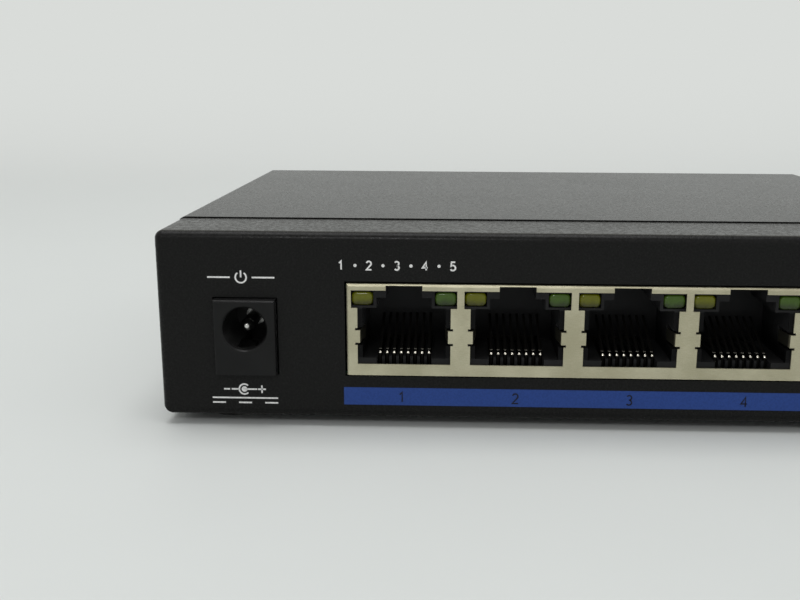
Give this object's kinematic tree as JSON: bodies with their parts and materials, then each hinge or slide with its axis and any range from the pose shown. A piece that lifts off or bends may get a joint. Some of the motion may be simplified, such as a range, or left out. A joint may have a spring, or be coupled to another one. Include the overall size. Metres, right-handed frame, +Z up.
{
  "type": "ethernet switch",
  "caption": "Small desktop network switch in a folded sheet-metal case, with a row of shielded sockets, indicator lights and a round power inlet on its front.",
  "frame": {"origin": "centre of the footprint, on the plane that the feet stand on", "axes": "+X along the front to the right as seen from the front, +Y from the front to the back, +Z up"},
  "size_m": [0.1222, 0.0882, 0.029],
  "materials": {
    "case_paint": "fine powder coat",
    "plated_sheet": "dull plated",
    "steel": "plated",
    "black_screw": "black plated",
    "foot_rubber": "matt",
    "black_mould": "moulded",
    "contact_metal": "plated",
    "yellow_lens": "tinted",
    "green_lens": "tinted",
    "board_laminate": "coated",
    "chip_mould": "moulded",
    "can_sleeve": "sleeved",
    "core": "pressed"
  },
  "bodies": {
    "root": {"chassis_tray": "case_paint", "top_cover": "case_paint", "cover_screws": "black_screw", "board_screws": "steel", "board_standoffs": "steel", "main_board": "board_laminate", "port_shield": "plated_sheet", "port_housing": "black_mould", "jack_housing": "black_mould", "jack_pin": "steel", "jack_spring": "steel", "switch_chip": "chip_mould", "port_power_chip": "chip_mould", "converter_chip": "chip_mould", "bulk_capacitor_1": "can_sleeve", "bulk_capacitor_2": "can_sleeve", "power_inductor": "core", "crystal": "steel", "rubber_feet": "foot_rubber", "port_1_contacts": "contact_metal", "port_1_left_led": "yellow_lens", "port_1_right_led": "green_lens", "port_1_transformer": "chip_mould", "port_2_contacts": "contact_metal", "port_2_left_led": "yellow_lens", "port_2_right_led": "green_lens", "port_2_transformer": "chip_mould", "port_3_contacts": "contact_metal", "port_3_left_led": "yellow_lens", "port_3_right_led": "green_lens", "port_3_transformer": "chip_mould", "port_4_contacts": "contact_metal", "port_4_left_led": "yellow_lens", "port_4_right_led": "green_lens", "port_4_transformer": "chip_mould", "port_5_contacts": "contact_metal", "port_5_left_led": "yellow_lens", "port_5_right_led": "green_lens", "port_5_transformer": "chip_mould"}
  },
  "joints": []
}
